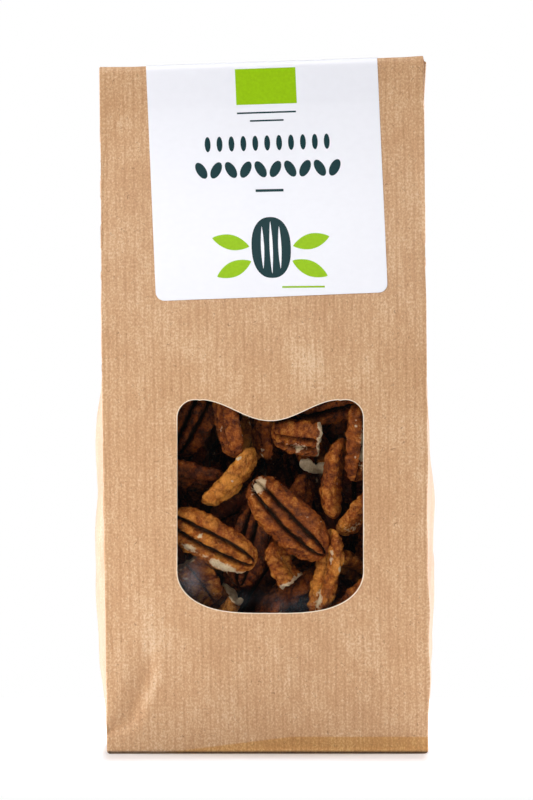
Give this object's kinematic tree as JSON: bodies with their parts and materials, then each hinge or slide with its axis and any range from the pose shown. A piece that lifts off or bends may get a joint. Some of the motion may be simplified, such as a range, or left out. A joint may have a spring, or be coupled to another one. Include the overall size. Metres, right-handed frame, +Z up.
{
  "type": "kraft paper window bag of shelled pecan halves",
  "caption": "Standing block-bottom kraft paper bag with side gussets, a shaped clear window, a folded top closed by a white label, and a fill of shelled pecan halves.",
  "frame": {"origin": "centre of the bag's flat bottom, on the surface it stands on", "axes": "+Z up, the window faces -Y, +X to the right as seen from the front"},
  "size_m": [0.1161, 0.0664, 0.2388],
  "materials": {
    "kraft_paper": "matte, fine vertical ribs",
    "clear_film": "clear gloss",
    "white_label": "coated, semi-gloss",
    "pecan_kernel": "satin, oily"
  },
  "bodies": {
    "root": {"paper_bag": "kraft_paper", "pecan_broken_05": "pecan_kernel", "pecan_broken_09": "pecan_kernel", "pecan_broken_11": "pecan_kernel", "pecan_broken_16": "pecan_kernel", "pecan_broken_17": "pecan_kernel", "pecan_broken_19": "pecan_kernel", "pecan_broken_25": "pecan_kernel", "pecan_half_01": "pecan_kernel", "pecan_half_02": "pecan_kernel", "pecan_half_03": "pecan_kernel", "pecan_half_04": "pecan_kernel", "pecan_half_06": "pecan_kernel", "pecan_half_07": "pecan_kernel", "pecan_half_08": "pecan_kernel", "pecan_half_10": "pecan_kernel", "pecan_half_12": "pecan_kernel", "pecan_half_13": "pecan_kernel", "pecan_half_14": "pecan_kernel", "pecan_half_15": "pecan_kernel", "pecan_half_18": "pecan_kernel", "pecan_half_20": "pecan_kernel", "pecan_half_21": "pecan_kernel", "pecan_half_22": "pecan_kernel", "pecan_half_23": "pecan_kernel", "pecan_half_24": "pecan_kernel", "pecan_half_26": "pecan_kernel", "pecan_half_27": "pecan_kernel", "pecan_half_28": "pecan_kernel", "pecan_half_29": "pecan_kernel", "pecan_half_30": "pecan_kernel", "pecan_half_31": "pecan_kernel", "pecan_half_32": "pecan_kernel", "pecan_half_33": "pecan_kernel", "pecan_half_34": "pecan_kernel", "pecan_half_35": "pecan_kernel", "pecan_half_36": "pecan_kernel", "pecan_half_37": "pecan_kernel", "pecan_half_38": "pecan_kernel", "pecan_half_39": "pecan_kernel", "pecan_half_40": "pecan_kernel", "pecan_half_41": "pecan_kernel", "pecan_half_42": "pecan_kernel", "pecan_half_43": "pecan_kernel", "pecan_half_44": "pecan_kernel", "pecan_half_45": "pecan_kernel", "pecan_half_46": "pecan_kernel", "pecan_half_47": "pecan_kernel", "pecan_half_48": "pecan_kernel", "pecan_heap": "pecan_kernel", "seal_label": "white_label", "window_film": "clear_film"}
  },
  "joints": []
}
